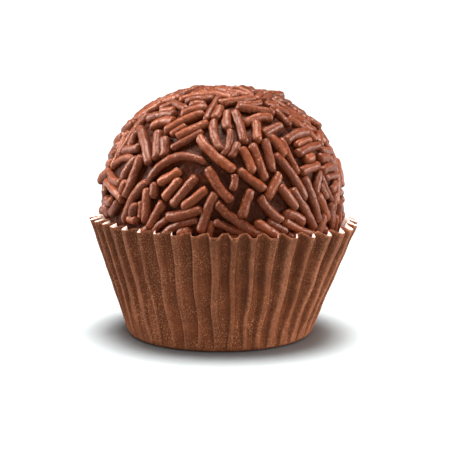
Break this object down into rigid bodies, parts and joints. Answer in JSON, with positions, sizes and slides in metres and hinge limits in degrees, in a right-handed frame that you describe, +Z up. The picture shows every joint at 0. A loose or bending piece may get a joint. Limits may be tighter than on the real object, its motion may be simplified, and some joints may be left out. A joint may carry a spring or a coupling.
{
  "type": "brigadeiro",
  "caption": "Round chocolate fudge sweet coated with chocolate sprinkles, sitting in a pleated brown paper sweet case that stands on a flat base.",
  "frame": {"origin": "middle of the underside of the paper case's base, on the surface that it stands on", "axes": "+Z up through the middle of the case, -Y towards the front of the sweet, +X to its right"},
  "size_m": [0.0364, 0.0359, 0.0333],
  "materials": {
    "fudge": "soft dark chocolate fudge, semi-gloss, with fine dents between the sprinkles",
    "sprinkles": "milk chocolate brown rods, waxy and satin, slightly bumpy",
    "paper": "thin pleated paper, matt mottled brown outside and pale cream inside"
  },
  "bodies": {
    "root": {"ball": "fudge", "paper_case": "paper"}
  },
  "joints": []
}
